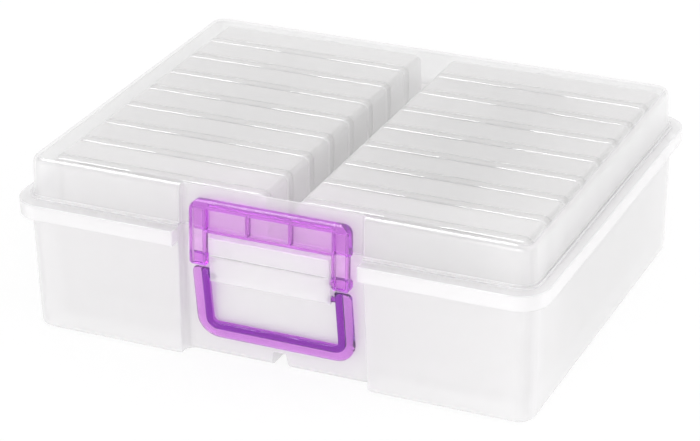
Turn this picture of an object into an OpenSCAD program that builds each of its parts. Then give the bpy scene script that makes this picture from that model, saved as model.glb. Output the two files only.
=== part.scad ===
// Photo keeper case: a clear tub with a hinged domed lid, a front latch and a bail handle.
// Inside stand two columns of clear photo cases. X is the width, Y runs to the back, Z is up.
// The origin is the middle of the footprint, on the table.

/* [Photo cases] */
// Photo cases in each column
rows = 8; // [6:1:9]
// Width of one photo case
case_w = 160.5; // [156:0.5:170]
// Height of one photo case, standing on its long edge
case_h = 119; // [112:0.5:126]
// Thickness of one photo case with its lid shut
case_t = 31.5; // [24:0.5:36]
// Thickness of a photo case wall
case_wall = 1.2; // [1:0.1:1.6]
// Depth of the photo case's lid
case_lid_t = 8; // [6:0.5:10]
// Radius of a photo case's corners
case_r = 5; // [3:0.5:8]
// Width of the snap tab on a photo case's lid
case_tab_w = 39; // [30:1:50]
// Free space between one photo case and the next
case_gap = 1.5; // [1.5:0.1:2.5]
// Free space between the two columns
column_gap = 22; // [20:0.5:30]
// Free space beside the photo cases
side_room = 7.5; // [5:0.5:10]
// Free space before the first row
front_room = 9; // [5:0.5:12]
// Free space behind the last row
back_room = 2.5; // [2.5:0.1:5]
// Free space between the photo cases and the lid
top_room = 4; // [2:0.5:6]

/* [Tub] */
// Thickness of the tub's walls and floor
wall = 2; // [1.6:0.1:2.5]
// Inward slope of each tub wall, from the rim down to the floor
draft = 2; // [1:0.25:3]
// How far the rim stands out at the sides
rim_side = 7; // [6:0.5:10]
// How far the rim stands out at the front and the back
rim_front = 9; // [9:0.5:11]
// Height of the rim's turned-down skirt
rim_drop = 11; // [9:0.5:13]
// Radius of the tub's upright corners
corner_r = 14; // [11:0.5:20]
// Radius between the walls and the floor
floor_r = 5; // [4:0.5:7]
// Width of the front recess
recess_w = 132; // [126:1:150]
// Depth of the front recess
recess_d = 8; // [7.5:0.1:9]
// Inward slope of the recess's wall, from the rim down to the floor
recess_draft = 4.8; // [4:0.1:6]
// Height of the channel under the floor, between the columns
channel_h = 10.5; // [6:0.5:12]
// Width of that channel at the table
channel_w = 12; // [10:0.2:16]

/* [Lid] */
// Height of the lid above the rim
lid_h = 29.5; // [27:0.5:32]
// Thickness of the lid
lid_wall = 2; // [1.6:0.1:2.4]
// How far the lid's wall stands in from the tub's
lid_inset = 2; // [1.5:0.1:2.5]
// Inward slope of the lid's walls
lid_draft = 1; // [0.5:0.25:2]
// Radius of the lid's top edge
lid_r = 5; // [4:0.5:7]
// Width of the lip round the lid's foot
lid_lip = 2.5; // [2:0.1:3]
// Width of that lip at the back
lid_lip_back = 1.2; // [1:0.1:1.3]

/* [Hinge] */
// Distance of each hinge from the middle
hinge_x = 81.6; // [60:0.5:120]
// Width of the notch in the rim at each hinge
hinge_w = 26; // [20:0.5:32]
// Distance of the hinge bar behind the tub's body
hinge_out = 4.8; // [4.6:0.1:5]
// Distance of the hinge bar below the rim
hinge_drop = 5.5; // [5:0.1:6]
// Radius of the hinge bar
hinge_r = 2; // [1.8:0.1:2.2]
// Wall of the hook that holds the bar
hook_wall = 1.7; // [1.5:0.1:1.8]
// Width of the hook's snap mouth
hook_mouth = 3.2; // [2.8:0.1:3.4]
// Running clearance of a pin in its hole, on the radius
pin_fit = 0.08; // [0.04:0.01:0.1]
// End clearance beside a hook
end_play = 0.5; // [0.3:0.1:1]

/* [Latch and handle] */
// Width of the clear bracket that carries the latch and the handle
bracket_w = 87; // [83:0.2:90]
// Height of that bracket
bracket_h = 32.5; // [31.5:0.5:34]
// Distance of the bracket's top below the rim
bracket_drop = 3; // [2.5:0.1:4]
// How far the bracket stands out of the recess
bracket_out = 9.8; // [9.4:0.1:10.2]
// Radius of the latch's and the handle's pins
pin_r = 1.8; // [1.5:0.1:2]
// Space between the bracket and each of the latch's legs
leg_gap = 1.8; // [1.4:0.1:2.4]
// Width of each of the latch's legs
leg_w = 11.6; // [11:0.1:12.4]
// Thickness of the latch's legs
leg_t = 4.9; // [4.4:0.1:5.4]
// Depth of the latch's crossbar
latch_t = 8.2; // [7.8:0.1:8.4]
// Height of the latch's crossbar
crossbar_h = 22.2; // [20:0.2:24]
// Distance of the latch's top below the lid's
latch_drop = 7.1; // [6:0.1:9]
// Depth of the crossbar's pockets
pocket_d = 5.2; // [3:0.1:5.6]
// Height of the bar along the crossbar's top, above the pockets
bar_h = 5.9; // [5:0.1:6.8]
// Backward lean of the shut latch, in degrees
latch_lean = 3; // [2:0.1:3.4]
// Distance of the latch's pivot below the rim
latch_pivot = 20.5; // [19:0.1:21.5]
// Distance of the latch's pivot before the recess
latch_out = 6.5; // [6.2:0.1:6.8]
// Radius of the boss round the latch's pivot
latch_boss_r = 4.6; // [4.2:0.1:5]
// Distance of the handle's pivot below the latch's
handle_pivot = 12.4; // [12.1:0.1:13]
// Distance of the handle's pivot before the recess
handle_out = 5.4; // [5.2:0.1:5.8]
// Space between the bracket and each of the handle's arms
arm_gap = 2; // [1.8:0.1:4]
// Width of the thin flange round the handle's outside
flange_w = 6.3; // [5.4:0.1:6.6]
// Thickness of that flange
flange_t = 2; // [1.6:0.1:2.4]
// Width of the round bead inside the flange
bead_w = 5.4; // [5:0.1:5.8]
// Radius of the bead's edges
bead_r = 2.4; // [2:0.1:2.4]
// Length of the handle from its pivot to its lower edge
handle_l = 48.2; // [44:0.2:50]
// Height of the handle's arms above its pivot
handle_top = 5.2; // [4.6:0.1:5.4]
// Thickness of the handle at its bead
handle_t = 5.6; // [5:0.1:5.8]
// Distance of the bead's face before the pivot
handle_face = 2.2; // [2:0.1:2.6]
// Radius of the handle's outer corners
handle_r = 15; // [13:0.5:18]
// Inward lean of the hanging handle, in degrees
handle_lean = 6.6; // [5:0.1:6.8]

/* [Hidden] */
$fn = 48;
function side_name(s) = s < 0 ? "left" : "right";
case_nodes = [for (s = [-1, 1]) for (i = [1:rows]) str("photo_case_", side_name(s), "_", i)];
case_lid_nodes = [for (s = [-1, 1]) for (i = [1:rows]) str("case_lid_", side_name(s), "_", i)];
clear = [0.9, 0.9, 0.92, 0.4];
clear_case = [0.93, 0.94, 0.96, 0.5];
purple = [0.72, 0.42, 0.85, 0.8];
facet = 15;

// Plan of the tub at the rim, and the middles of its upright corners
pitch = case_t + case_gap;
body_w = 2 * (case_w + side_room + wall + draft) + column_gap;
body_d = rows * pitch - case_gap + front_room + back_room + recess_d + 2 * (wall + draft);
corner_x = body_w / 2 - corner_r;
corner_y = body_d / 2 - corner_r;
rim_x = body_w / 2 + rim_side;
rim_y = body_d / 2 + rim_front;
rim_r = corner_r + rim_side;

// Heights
lid_in_top = wall + case_h + top_room;
lid_top = lid_in_top + lid_wall;
rim_z = lid_top - lid_h;
latch_z = rim_z - latch_pivot;
handle_z = latch_z - handle_pivot;
latch_top = lid_top - latch_drop;
crossbar_z = latch_top - crossbar_h;
bracket_top = rim_z - bracket_drop;
bracket_z = bracket_top - bracket_h;

// Front recess, and what hangs in it: the latch and the handle are drawn upright and then leaned
recess_y = -body_d / 2 + recess_d;
recess_r = 4;
recess_lean = asin((recess_draft - draft) / rim_z);
air = 0.3;
latch_y = recess_y - latch_out;
latch_front_y = latch_y - latch_boss_r;
latch_back_y = latch_front_y + latch_t;
latch_w = bracket_w + 2 * (leg_gap + leg_w);
handle_y = recess_y - handle_out;
bead_y = handle_y - handle_face + handle_t / 2;
bead_in = flange_w + bead_w / 2;
handle_w = bracket_w + 2 * (arm_gap + flange_w + bead_w);
cheek = 2.5;
pin_in = bracket_w / 2 - cheek;

// Ledge behind the crossbar, and the catch on the lid below it
ledge_d = 1.2;
ledge_z = latch_top - bar_h;
ledge_edge = [latch_back_y - latch_y, ledge_z - latch_z];
catch_h = 2.4;
catch_d = recess_y - latch_y - ledge_edge[0] * cos(latch_lean) - ledge_edge[1] * sin(latch_lean) - air;
catch_z = latch_z - ledge_edge[0] * sin(latch_lean) + ledge_edge[1] * cos(latch_lean) - air - catch_h;

// Hinge line at the back
hinge_y = body_d / 2 + hinge_out;
hinge_z = rim_z - hinge_drop;
hook_r = hinge_r + pin_fit + hook_wall;

// Plan of the lid
lid_x = corner_x;
lid_y = corner_y;
lid_corner = corner_r - lid_inset;
lip_t = 2;

// Rows are counted from the front
case_back = body_d / 2 - draft - wall - back_room;
function case_y(i) = case_back - case_t - (rows - i) * pitch;
function case_x(s) = s * (column_gap + case_w) / 2;

// Wall outline in the plane across it: up or down from z0 to z1, with a rounded edge at z1
function edge(u, z0, z1, slant, r) = let (s = z1 > z0 ? 1 : -1)
  concat([[u, z0]], [for (a = [0:facet:90])
    [u - slant - r + r * cos(a), z1 - s * r + s * r * sin(a)]]);

module rounded(x, y, r) {
  union() {
    square([2 * x, 2 * (y - r)], center = true);
    square([2 * (x - r), 2 * y], center = true);
    for (sx = [-1, 1]) for (sy = [-1, 1]) translate([sx * (x - r), sy * (y - r)]) circle(r);
  }
}

// Solid with sloping walls and one rounded edge: x and y are the middles of its upright corners
module block(x, y, path, z0, z1) {
  function across(c) = concat([for (p = path) [c + p[0], p[1]]],
    [for (i = [len(path) - 1:-1:0]) [-c - path[i][0], path[i][1]]]);
  union() {
    rotate([90, 0, 0]) linear_extrude(2 * y, center = true) polygon(across(x));
    rotate([90, 0, 90]) linear_extrude(2 * x, center = true) polygon(across(y));
    for (q = [0:3]) let (sx = q == 0 || q == 3 ? 1 : -1, sy = q < 2 ? 1 : -1)
      translate([sx * x, sy * y, 0]) rotate(90 * q) rotate_extrude(angle = 90)
        polygon(concat([[0, z0]], path, [[0, z1]]));
  }
}

module leaned(angle, y, z) {
  translate([0, y, z]) rotate([angle, 0, 0]) translate([0, -y, -z]) children();
}

// What the recess takes from the tub, its foot rounded like the tub's own.
// Grown by the wall it gives the inner side.
module recess(grow) {
  reach = 20;
  over = 3;
  sink = 0.05; // so that its foot crosses the floor, and doesn't end on it
  foot = recess_r + draft + floor_r;
  foot_y = recess_y + (draft + floor_r) * cos(recess_lean) + rim_z * sin(recess_lean);
  arc = [for (a = [0:facet:90]) [foot - (floor_r - grow) * cos(a), floor_r - (floor_r - grow) * sin(a)]];
  end = grow > 0 ? grow : -over;
  path = concat([[recess_r + grow, rim_z + over]], arc, grow > 0 ? [] : [[foot, end]]);
  translate([0, foot_y, -sink]) rotate([recess_lean, 0, 0]) translate([0, -foot - reach, 0])
    block(recess_w / 2 - recess_r, reach, path, rim_z + over, end);
}

// Outline of the rim, with the front recess and the two hinge notches
module rim_plan(inset) {
  notch_y = body_d / 2 + 1;
  notch_d = 2 * rim_front;
  difference() {
    rounded(rim_x - inset, rim_y - inset, rim_r - inset);
    translate([0, -rim_y]) square([recess_w + 2 * inset, 2 * rim_front], center = true);
    for (s = [-1, 1])
      translate([s * hinge_x - hinge_w / 2 - inset, notch_y - inset]) square([hinge_w + 2 * inset, notch_d]);
  }
}

module channel(grow) {
  x = channel_w / 2 + grow;
  slant = 1.8;
  rotate([90, 0, 0]) linear_extrude(body_d + 2, center = true)
    polygon([[-x, -grow], [-x + slant, channel_h + grow], [x - slant, channel_h + grow], [x, -grow]]);
}

module tub_outside() {
  block(corner_x, corner_y, edge(corner_r, rim_z, 0, draft, floor_r), rim_z, 0);
}

module tub_inside() {
  block(corner_x, corner_y, edge(corner_r - wall, rim_z + 1, wall, draft, floor_r - wall), rim_z + 1, wall);
}

// Side view of the bracket: its face has a low step, its back follows the recess into the wall
module bracket_side() {
  slant = 1.3;
  step = 0.4;
  step_z = bracket_top - 0.4 * bracket_h;
  face = recess_y - bracket_out;
  function back(z) = recess_y + recess_draft * (rim_z - z) / rim_z + 0.6 * wall;
  polygon([[face, bracket_top], [face + step / 2, step_z + step], [face - step / 4, step_z],
    [face + slant, bracket_z], [back(bracket_z), bracket_z], [back(bracket_top), bracket_top]]);
}

module bracket() {
  skin = 1.8;
  over = 0.4;
  difference() {
    rotate([90, 0, 90]) linear_extrude(bracket_w, center = true) bracket_side();
    translate([0, skin, -skin]) rotate([90, 0, 90]) linear_extrude(bracket_w - 2 * cheek, center = true)
      bracket_side();
    for (p = [[latch_y, latch_z], [handle_y, handle_z]]) for (s = [-1, 1])
      translate([s * (pin_in + cheek / 2), p[0], p[1]]) rotate([0, 90, 0])
        cylinder(r = pin_r + pin_fit, h = cheek + over, center = true);
  }
}

module tub() {
  color(clear) union() {
    difference() {
      tub_outside();
      difference() {
        tub_inside();
        recess(wall);
        channel(wall);
      }
      recess(0);
      channel(0);
    }
    // Rim shelf and its skirt
    difference() {
      union() {
        translate([0, 0, rim_z - wall]) linear_extrude(wall) rim_plan(0);
        translate([0, 0, rim_z - rim_drop]) linear_extrude(rim_drop) difference() {
          rim_plan(0);
          rim_plan(wall);
        }
      }
      tub_inside();
      recess(0);
    }
    bracket();
    for (s = [-1, 1]) translate([s * hinge_x - hinge_w / 2 - wall / 2, hinge_y, hinge_z])
      rotate([0, 90, 0]) cylinder(r = hinge_r, h = hinge_w + wall);
  }
}

module lid_recess(grow) {
  reach = 20;
  translate([0, recess_y + grow - reach, 0]) linear_extrude(lid_top + 1)
    rounded(recess_w / 2 + grow, reach, recess_r + grow);
}

// Plan of the lip round the lid's foot, narrower at the back
module lid_lip_plan() {
  x = lid_x + lid_corner + lid_lip;
  y = lid_y + lid_corner + lid_lip;
  r = lid_corner + lid_lip;
  intersection() {
    rounded(x, y, r);
    translate([-x, -y]) square([2 * x, 2 * y - lid_lip + lid_lip_back]);
  }
}

// Section of a hinge hook: a ring with a snap mouth to the back, and an arm to the lid's foot
module hook() {
  width = hinge_w - 2 * end_play;
  translate([-width / 2, 0, 0]) rotate([90, 0, 90]) linear_extrude(width) difference() {
    union() {
      translate([hinge_y, hinge_z]) circle(hook_r);
      translate([body_d / 2 - lid_inset, rim_z]) square([hinge_out + lid_inset, lip_t]);
      translate([hinge_y - hook_r, hinge_z]) square([hook_r, hinge_drop + lip_t]);
    }
    translate([hinge_y, hinge_z]) circle(hinge_r + pin_fit);
    translate([hinge_y, hinge_z - hook_mouth / 2]) square([2 * hook_r, hook_mouth]);
  }
}

module lid() {
  post_r = 3.2;
  post_gap = 0.4;
  post_drop = 6;
  inner = bracket_w / 2;
  color(clear) union() {
    difference() {
      block(lid_x, lid_y, edge(lid_corner, rim_z, lid_top, lid_draft, lid_r), rim_z, lid_top);
      difference() {
        block(lid_x, lid_y, edge(lid_corner - lid_wall, rim_z - 1, lid_in_top, lid_draft, lid_r - lid_wall),
          rim_z - 1, lid_in_top);
        lid_recess(lid_wall);
      }
      lid_recess(0);
    }
    // Lip round the foot, left out across the recess
    difference() {
      translate([0, 0, rim_z]) linear_extrude(lip_t) difference() {
        lid_lip_plan();
        rounded(lid_x + lid_corner - lid_wall, lid_y + lid_corner - lid_wall, lid_corner - lid_wall);
      }
      lid_recess(0);
    }
    // Catch below the ledge of the latch
    translate([-inner, recess_y - catch_d, catch_z]) cube([2 * inner, catch_d + lid_wall / 2, catch_h]);
    // Hinge hooks, each with a post up the back wall
    for (s = [-1, 1]) translate([s * hinge_x, 0, 0]) {
      hook();
      intersection() {
        translate([0, case_back + post_gap + post_r, rim_z]) cylinder(r = post_r, h = lid_h - post_drop);
        translate([-post_r, 0, 0]) cube([2 * post_r, body_d / 2 - lid_inset - lid_draft, lid_top]);
      }
    }
  }
}

// Front view of the latch: a crossbar with rounded top corners on two legs with rounded feet
module latch_front() {
  corner = 8;
  foot = 3;
  z0 = latch_z - latch_boss_r;
  middle = crossbar_z + crossbar_h / 2;
  h = middle - z0;
  union() {
    translate([0, middle]) rounded(latch_w / 2, crossbar_h / 2, corner);
    for (s = [-1, 1]) translate([s * (latch_w - leg_w) / 2, z0 + h / 2]) rounded(leg_w / 2, h / 2, foot);
  }
}

// Side view of the latch: a round top, a deep crossbar, thin legs and a round boss at the pivot
module latch_side() {
  round_r = latch_t / 2;
  union() {
    translate([latch_front_y, latch_z]) square([leg_t, crossbar_z - latch_z]);
    translate([latch_front_y, crossbar_z]) square([latch_t, crossbar_h - round_r]);
    translate([latch_front_y + round_r, latch_top - round_r]) circle(round_r);
    translate([latch_y, latch_z]) circle(latch_boss_r);
  }
}

module latch() {
  rim = 2;
  rib = 1.6;
  skin = 1.5;
  over = 1;
  inner = latch_w / 2 - leg_w;
  panel = (2 * inner - 2 * rib) / 3;
  leg_z = latch_z - latch_boss_r + 1.5 * rim;
  reach = latch_boss_r + over;
  color(purple) leaned(-latch_lean, latch_y, latch_z) union() {
    difference() {
      intersection() {
        translate([0, latch_y + reach, 0]) rotate([90, 0, 0]) linear_extrude(2 * reach) latch_front();
        rotate([90, 0, 90]) linear_extrude(latch_w, center = true) latch_side();
      }
      // Pockets in the crossbar and down both legs
      for (i = [0:2])
        translate([-inner + i * (panel + rib), latch_front_y - over, crossbar_z + rim])
          cube([panel, pocket_d + over, ledge_z - crossbar_z - rim]);
      for (s = [-1, 1])
        translate([s * (latch_w - leg_w) / 2 - leg_w / 2 + rim, latch_front_y - over, leg_z])
          cube([leg_w - 2 * rim, leg_t - skin + over, ledge_z - leg_z]);
      // Relief behind the pockets, up to the ledge below the bar
      translate([-inner, latch_back_y - ledge_d, crossbar_z - over])
        cube([2 * inner, ledge_d + over, ledge_z - crossbar_z + over]);
    }
    for (s = [-1, 1]) translate([s * (inner + over), latch_y, latch_z]) rotate([0, -90 * s, 0])
      cylinder(r = pin_r, h = inner + over - pin_in);
  }
}

// Front view of the handle's outside, drawn in from its edges and open to the top
module handle_outline(inset) {
  translate([0, handle_z]) rounded(handle_w / 2 - inset, handle_l - inset, handle_r - inset);
}

// Bead of the handle: two arms with round tops, two corners and the grip
module bead() {
  corner_z = handle_z - handle_l + handle_r;
  top_z = handle_z + handle_top - handle_t / 2;
  translate([0, bead_y, corner_z - handle_r + bead_in]) rotate([90, 0, 90])
    linear_extrude(handle_w - 2 * handle_r, center = true) rounded(handle_t / 2, bead_w / 2, bead_r);
  for (s = [0, 1]) mirror([s, 0, 0]) {
    translate([handle_w / 2 - handle_r, bead_y, corner_z]) rotate([90, 0, 0]) rotate(-90)
      rotate_extrude(angle = 90) translate([handle_r - bead_in, 0]) rounded(bead_w / 2, handle_t / 2, bead_r);
    intersection() {
      translate([handle_w / 2 - bead_in, bead_y, corner_z]) linear_extrude(handle_l)
        rounded(bead_w / 2, handle_t / 2, bead_r);
      rotate([90, 0, 90]) linear_extrude(handle_w / 2) union() {
        translate([bead_y - handle_t / 2, corner_z]) square([handle_t, top_z - corner_z]);
        translate([bead_y, top_z]) circle(handle_t / 2);
      }
    }
  }
}

// The handle: a thin flange outside, a round bead inside, and a pin from each arm into the bracket
module handle() {
  top_r = 3;
  inner = handle_w / 2 - bead_in;
  color(purple) leaned(handle_lean, handle_y, handle_z) union() {
    translate([0, bead_y + flange_t / 2, 0]) rotate([90, 0, 0]) linear_extrude(flange_t) difference() {
      intersection() {
        handle_outline(0);
        translate([0, handle_z + handle_top - handle_l]) rounded(handle_w / 2, handle_l, top_r);
      }
      handle_outline(bead_in);
    }
    bead();
    for (s = [-1, 1]) translate([s * inner, handle_y, handle_z]) rotate([0, -90 * s, 0])
      cylinder(r = pin_r, h = inner - pin_in);
  }
}

// Upright outline of a photo case, seen from the front
module case_front(inset) {
  translate([0, wall + case_h / 2]) rounded(case_w / 2 - inset, case_h / 2 - inset, case_r - inset);
}

module place_case(s, i) {
  translate([case_x(s), case_y(i), 0]) rotate([90, 0, 0]) mirror([0, 0, 1]) children();
}

// The case's deep half: a tray with its open side to the front
module photo_case(s, i) {
  color(clear_case) place_case(s, i) difference() {
    translate([0, 0, case_lid_t]) linear_extrude(case_t - case_lid_t) case_front(0);
    translate([0, 0, case_lid_t - 1]) linear_extrude(case_t - case_lid_t - case_wall + 1) case_front(case_wall);
  }
}

// The case's lid: a shallow tray with a tongue inside the case and a snap tab at the top
module case_lid(s, i) {
  tab_h = 14;
  tab_t = case_gap - 0.3;
  tongue = 2;
  slack = 0.15;
  color(clear_case) place_case(s, i) union() {
    difference() {
      linear_extrude(case_lid_t) case_front(0);
      translate([0, 0, case_wall]) linear_extrude(case_lid_t) case_front(case_wall);
    }
    translate([0, 0, case_lid_t - 2]) linear_extrude(tongue + 2) difference() {
      case_front(case_wall + slack);
      case_front(2 * case_wall + slack);
    }
    translate([0, 0, case_lid_t - 2]) linear_extrude(2) difference() {
      case_front(case_wall - slack);
      case_front(2 * case_wall);
    }
    translate([-case_tab_w / 2, wall + case_h - tab_h - tab_t, -tab_t]) cube([case_tab_w, tab_h, tab_t + 1]);
  }
}

tub();
lid();
latch();
handle();
for (s = [-1, 1]) for (i = [1:rows]) {
  photo_case(s, i);
  case_lid(s, i);
}
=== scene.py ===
import math

import bpy
from mathutils import Matrix, Vector

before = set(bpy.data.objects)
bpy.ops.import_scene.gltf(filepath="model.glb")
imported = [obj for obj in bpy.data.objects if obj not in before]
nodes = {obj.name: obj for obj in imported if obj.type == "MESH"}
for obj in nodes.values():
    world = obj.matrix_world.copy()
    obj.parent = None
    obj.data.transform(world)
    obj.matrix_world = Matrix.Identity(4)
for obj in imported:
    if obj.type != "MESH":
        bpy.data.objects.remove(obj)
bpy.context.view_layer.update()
scene = bpy.context.scene

# Camera: a long lens, above and to the right of the case's front, where the photographer stood.
# Its place, its angles and its lens were fitted to the straight edges of the case.
TURN = math.radians(24.309)
DOWN = math.radians(25.551)
ROLL = math.radians(-0.7206)
EYE = (0.6739, -1.5087, 0.8402)
LENS = 134.52
SENSOR = 36
forward = Vector((-math.sin(TURN) * math.cos(DOWN), math.cos(TURN) * math.cos(DOWN), -math.sin(DOWN)))
level = forward.cross(Vector((0, 0, 1))).normalized()
upright = level.cross(forward)
right = math.cos(ROLL) * level + math.sin(ROLL) * upright
up = math.cos(ROLL) * upright - math.sin(ROLL) * level
camera = bpy.data.objects.new("camera", bpy.data.cameras.new("camera"))
camera.data.lens = LENS
camera.data.sensor_width = SENSOR
camera.matrix_world = Matrix.Translation(EYE) @ Matrix((right, up, -forward)).transposed().to_4x4()
scene.collection.objects.link(camera)
scene.camera = camera
scene.view_settings.view_transform = "Standard"
# A look from the front passes some thirty clear walls, and each one counts as a transparent bounce.
scene.cycles.transparent_max_bounces = 80
scene.cycles.max_bounces = 12
scene.cycles.transmission_bounces = 12


# Table and backdrop: a pale surface that ends in white all round, with the case's own soft shadow on it.
# The camera, reflections and refractions see plain white; the case is lit by about as much.
class Value:
    """A socket of a node tree, for sums written as in Python. make() adds any other kind of node."""

    def __init__(self, tree, socket=None):
        self.tree = tree
        self.socket = socket

    def make(self, kind, output=0, inputs=(), **settings):
        node = self.tree.nodes.new("ShaderNode" + kind)
        for name, value in settings.items():
            setattr(node, name, value)
        for name, value in dict(inputs).items():
            if isinstance(value, Value):
                self.tree.links.new(value.socket, node.inputs[name])
            else:
                node.inputs[name].default_value = value
        return Value(self.tree, node.outputs[output] if len(node.outputs) else None)

    def work(self, operation, first, second=0):
        return self.make("Math", inputs={0: first, 1: second}, operation=operation)

    def __add__(self, other):
        return self.work("ADD", self, other)

    def __sub__(self, other):
        return self.work("SUBTRACT", self, other)

    def __rsub__(self, other):
        return self.work("SUBTRACT", other, self)

    def __mul__(self, other):
        return self.work("MULTIPLY", self, other)

    def __pow__(self, other):
        return self.work("POWER", self, other)

    __radd__ = __add__
    __rmul__ = __mul__

    def __abs__(self):
        return self.work("ABSOLUTE", self)

    def larger(self, other):
        return self.work("MAXIMUM", self, other)

    def clamped(self):
        return self.make("Clamp", inputs={"Value": self})

    def axes(self, letters):
        return [self.make("SeparateXYZ", letter, inputs={0: self}) for letter in letters]

    def blend(self, first, second):
        """A colour between two others, by this share of the second."""
        return self.make("Mix", 2, inputs={0: self, 6: first, 7: second}, data_type="RGBA")


def empty_tree(owner):
    owner.use_nodes = True
    owner.node_tree.nodes.clear()
    return Value(owner.node_tree)


def seen_directly(tree):
    rays = [tree.make("LightPath", output) for output in ("Is Camera Ray", "Is Glossy Ray", "Is Transmission Ray")]
    return (rays[0] + rays[1] + rays[2]).clamped()


LIGHT = 1.05
world = bpy.data.worlds.new("studio")
scene.world = world
tree = empty_tree(world)
soft = tree.make("Background", inputs={"Color": (1, 1, 1, 1), "Strength": LIGHT})
white = tree.make("Background", inputs={"Color": (1, 1, 1, 1), "Strength": 1.0})
sky = tree.make("MixShader", inputs={0: seen_directly(tree), 1: soft, 2: white})
tree.make("OutputWorld", inputs={"Surface": sky})

REACH = 3
SHADOW_LEFT = 0.15
corners = [(-REACH, -REACH, 0), (REACH, -REACH, 0), (REACH, REACH, 0), (-REACH, REACH, 0)]
paper = bpy.data.meshes.new("table")
paper.from_pydata(corners, [], [(0, 1, 2, 3)])
table = bpy.data.objects.new("table", paper)
scene.collection.objects.link(table)
paint = bpy.data.materials.new("table_white")
tree = empty_tree(paint)
grain = tree.make("TexNoise", inputs={"Scale": 900.0, "Detail": 2.0}) * 0.02 + 0.92
matt = tree.make("BsdfPrincipled", inputs={"Base Color": grain, "Roughness": 1.0, "Specular IOR Level": 0.0})
glow = tree.make("Emission", inputs={"Strength": 1.0})
surface = tree.make("MixShader", inputs={0: seen_directly(tree) * (1 - SHADOW_LEFT), 1: matt, 2: glow})
tree.make("OutputMaterial", inputs={"Surface": surface})
paper.materials.append(paint)


# Lamps: a large soft box high over the front left is only seen as a shine, and draws the bright lines along
# the front edges. The others light the front and the right side a little.
def soft_box(name, place, aim, size, power):
    lamp = bpy.data.lights.new(name, "AREA")
    lamp.shape = "RECTANGLE"
    lamp.size = size[0]
    lamp.size_y = size[1]
    lamp.energy = power
    made = bpy.data.objects.new(name, lamp)
    made.location = place
    made.rotation_euler = (Vector(aim) - Vector(place)).to_track_quat("-Z", "Y").to_euler()
    scene.collection.objects.link(made)
    return made


CASE_MIDDLE = (0, 0, 0.06)
shine_box = soft_box("shine_box", (-0.63, -0.35, 1.55), (-0.63, -0.35, 0), (0.9, 0.9), 25)
shine_box.visible_diffuse = False
soft_box("front_fill", (0.2, -2.2, 0.5), CASE_MIDDLE, (1.6, 0.8), 16)
soft_box("side_fill", (2.0, 0.3, 0.7), CASE_MIDDLE, (1.2, 0.8), 11)


# Tub: natural polypropylene, injection moulded in one piece with its rim, bracket and hinge bars.
# The plastic is milky where it is thick or seen edge-on, and its drawn edges catch the light.
CLOUD = 0.03
EDGE_SPREAD = 3.4
RIM_MILK = 0.5


def clear_plastic(name, tint, walls, tops, edges, rough, shine, shade=0.85, wavy=0.0, recess=None, tab=None):
    """walls, tops and edges are the milky shares of upright walls, of level walls and of drawn edges. shade is the
    painted shade on drawn edges and edge-on silhouettes. wavy ripples the shine. recess and tab give the places of
    the painted light and shade below."""
    mat = bpy.data.materials.new(name)
    tree = empty_tree(mat)
    place = tree.make("TexCoord", "Object")
    x, y, z = place.axes("XYZ")
    flow = tree.make("TexNoise", inputs={"Vector": place, "Scale": 22.0, "Detail": 2.0})
    facing = tree.make("LayerWeight", "Facing", inputs={"Blend": 0.5})
    rim = facing ** 4
    turns = [abs(turn) for turn in tree.make("TexCoord", "Normal").axes("XYZ")]
    drawn = ((1 - turns[0].larger(turns[1].larger(turns[2]))) * EDGE_SPREAD).clamped()

    milk = walls + (tops - walls) * turns[2] ** 4
    if recess:
        half, wall_y, shade_lifting_milk, bracket_y, light_dimming_milk = recess
        # Painted light: the recessed wall is made milkier to lift it out of the shade there, and the bracket clearer
        # to dim the front light on it.
        between = ((half - abs(x)) * 1000).clamped()
        milk = milk + between * ((wall_y - y) * 500).clamped() * (shade_lifting_milk - milk)
        milk = milk + between * ((bracket_y - y) * 2000).clamped() * (light_dimming_milk - shade_lifting_milk)
    milk = milk + drawn * (edges - milk) + (flow - 0.5) * CLOUD
    milk = (milk + rim * RIM_MILK * (1 - milk)).clamped()

    color = flow.blend((*tint, 1), (*[c * 0.98 for c in tint], 1))
    # Painted shade: drawn edges and silhouettes seen edge-on take a darker colour, for the dark lines refraction
    # draws there.
    color = (drawn + rim).clamped().blend(color, (*[c * shade for c in tint], 1))
    body = tree.make("BsdfPrincipled", inputs={"Base Color": color, "Roughness": rough + flow * 0.08,
                                               "Specular IOR Level": 0.0})
    glow = tree.make("BsdfTranslucent", inputs={"Color": (*tint, 1)})
    cloudy = tree.make("MixShader", inputs={0: 0.5, 1: body, 2: glow})
    surface = tree.make("MixShader", inputs={0: milk, 1: tree.make("BsdfTransparent"), 2: cloudy})

    gloss = {"Color": (1, 1, 1, 1), "Roughness": rough}
    if wavy:
        wave = tree.make("TexNoise", inputs={"Vector": place, "Scale": 60.0, "Detail": 1.0})
        gloss["Normal"] = tree.make("Bump", inputs={"Height": wave, "Strength": wavy, "Distance": 0.0004})
    mirrored = (0.04 + 0.96 * facing ** 5) * (1 - tree.make("NewGeometry", "Backfacing"))
    if tab:
        middle, half, above = tab
        # Painted shade: the shine along the lid's edge is masked out over the snap tab.
        unshone_tab = ((half - abs(abs(x) - middle)) * 2000).clamped() * ((z - above) * 4000).clamped()
        mirrored = mirrored * (1 - 0.9 * unshone_tab)
    shone = {0: (mirrored * shine).clamped(), 1: surface, 2: tree.make("BsdfGlossy", inputs=gloss)}
    tree.make("OutputMaterial", inputs={"Surface": tree.make("MixShader", inputs=shone)})
    return mat


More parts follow.
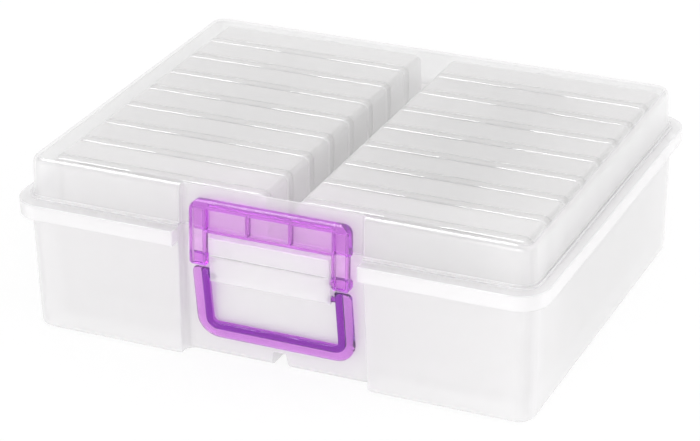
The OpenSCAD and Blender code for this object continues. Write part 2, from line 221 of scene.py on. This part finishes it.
def dress(node, materials, edge, joined=True):
    """Rounds a moulded piece's sharp edges, which get the second material."""
    piece = nodes[node]
    weld = piece.modifiers.new("weld", "WELD")
    weld.merge_threshold = 1e-5
    if joined:
        flat = piece.modifiers.new("flat", "DECIMATE")
        flat.decimate_type = "DISSOLVE"
        flat.angle_limit = math.radians(1.5)
    if edge:
        bevel = piece.modifiers.new("edge", "BEVEL")
        bevel.limit_method = "ANGLE"
        bevel.angle_limit = math.radians(28)
        bevel.width = edge
        bevel.segments = 2
        bevel.use_clamp_overlap = False
        bevel.material = 1 if len(materials) > 1 else -1
    smooth = piece.modifiers.new("smooth", "WEIGHTED_NORMAL")
    smooth.weight = 80
    for face in piece.data.polygons:
        face.use_smooth = True
    piece.data.materials.clear()
    for material in materials:
        piece.data.materials.append(material)


# Half the recess's width, then where its wall and the bracket in front of it begin, each with its milky share.
# Painted light: the recessed wall is milkier than the tub to lift it out of its shade, and the bracket clearer to
# dim the front light on it.
RECESS = (0.0665, -0.12, 0.75, -0.1362, 0.4)
tub_clear = clear_plastic(
    "tub_plastic", (0.95, 0.945, 0.95),
    walls=0.55, tops=0.35, edges=0.6, rough=0.16, shine=1.0, wavy=0.03, recess=RECESS,
)
# Painted shade: the tub's bevelled edges get a darker copy of its plastic.
tub_shaded_edge = clear_plastic("tub_edges", (0.9, 0.895, 0.91), walls=0.6, tops=0.6, edges=0.6, rough=0.12, shine=1.5)
dress("tub", (tub_clear, tub_shaded_edge), 0.0006)

# Photo cases: two columns of eight, clear styrene trays with their lids snapped on in front.
# They are thinner and glossier than the tub. The front edge of each lid shows as a bright line, except
# behind its snap tab, which stands lower; there the shine is masked out, a painted shade over the reflection: TAB is
# the tab's middle along x, half its width and its top.
TAB = (0.09125, 0.0195, 0.12)
case_clear = clear_plastic(
    "case_plastic", (0.985, 0.98, 0.98),
    walls=0.3, tops=0.6, edges=0.4, rough=0.1, shine=1.0, shade=0.8,
)
# Painted shade: the bevels on the lids' edges get a darker copy of the plastic; their stronger shine is the soft
# box's reflection.
case_shaded_edge = clear_plastic(
    "case_edges", (0.93, 0.925, 0.93),
    walls=0.5, tops=0.5, edges=0.5, rough=0.08, shine=4.0, shade=1.0, tab=TAB,
)
for node in nodes:
    if node.startswith("photo_case_"):
        dress(node, (case_clear,), 0.0004)
    if node.startswith("case_lid_"):
        dress(node, (case_clear, case_shaded_edge), 0.0011)

# Lid: the same polypropylene as the tub, thinner and clearer, moulded with its hinge hooks.
# It lies on the tub's rim, and only its hooks and the latch hold it.
lid_clear = clear_plastic(
    "lid_plastic", (0.94, 0.935, 0.94),
    walls=0.3, tops=0.06, edges=0.4, rough=0.1, shine=1.0, shade=0.78, wavy=0.01,
)
# Painted shade: the lid's bevelled edges get a darker copy of its plastic.
lid_shaded_edge = clear_plastic("lid_edges", (0.86, 0.855, 0.87), walls=0.5, tops=0.5, edges=0.5, rough=0.1, shine=1.5)
dress("lid", (lid_clear, lid_shaded_edge), 0.0006)


# Latch: dyed translucent polypropylene with pockets in its face, hung on two pins in the tub's bracket.
# It is darker the deeper the light has to go, so the ribs between the pockets show as dark lines.
def purple_plastic(name, rough, dye_density, flange=None):
    """flange is the lean of a piece, the middle of its thin flange along the depth and half its thickness.
    What stands out from the flange gets a darker colour, a painted shade for its thickness."""
    mat = bpy.data.materials.new(name)
    tree = empty_tree(mat)
    place = tree.make("TexCoord", "Object")
    wave = tree.make("TexNoise", inputs={"Vector": place, "Scale": 90.0, "Detail": 2.0})
    color = wave.blend((0.99, 0.95, 0.99, 1), (0.98, 0.92, 0.98, 1))
    if flange:
        lean, middle, half = flange
        y, z = place.axes("YZ")
        depth = y * math.cos(lean) + z * math.sin(lean) - middle
        # Painted shade: what stands out from the flange gets a darker colour for its thickness, on top of the dye's
        # absorption.
        bead = ((abs(depth) - half) * 8000).clamped()
        color = bead.blend(color, (0.6, 0.28, 0.72, 1))
    bump = tree.make("Bump", inputs={"Height": wave, "Strength": 0.02, "Distance": 0.0004})
    body = tree.make("BsdfPrincipled", inputs={"Base Color": color, "Roughness": rough + wave * 0.06, "Normal": bump,
                                               "Transmission Weight": 0.93, "IOR": 1.4})
    dyed = tree.make("BsdfTransparent", inputs={"Color": (0.95, 0.85, 0.96, 1)})
    surface = tree.make("MixShader", inputs={0: tree.make("LightPath", "Is Shadow Ray"), 1: body, 2: dyed})
    dye = tree.make("VolumeAbsorption", inputs={"Color": (0.82, 0.1, 0.91, 1), "Density": dye_density})
    tree.make("OutputMaterial", inputs={"Surface": surface, "Volume": dye})
    return mat


latch_purple = purple_plastic("latch_plastic", rough=0.1, dye_density=215.0)
dress("latch", (latch_purple,), 0.0004, joined=False)

# Handle: the same purple plastic, hung in the bracket below the latch and leaning back with the recess.
# It is a thin flange around a thick bead, which lets less light through and looks darker; the dye's absorption makes
# part of that, painted shade in the bead's colour the rest.
LEAN = math.radians(6.6)
PIVOT_Y = -0.1424
PIVOT_Z = 0.0646
FLANGE = (LEAN, PIVOT_Y * math.cos(LEAN) + PIVOT_Z * math.sin(LEAN) + 0.0006, 0.0011)
handle_purple = purple_plastic("handle_plastic", rough=0.06, dye_density=440.0, flange=FLANGE)
dress("handle", (handle_purple,), 0, joined=False)
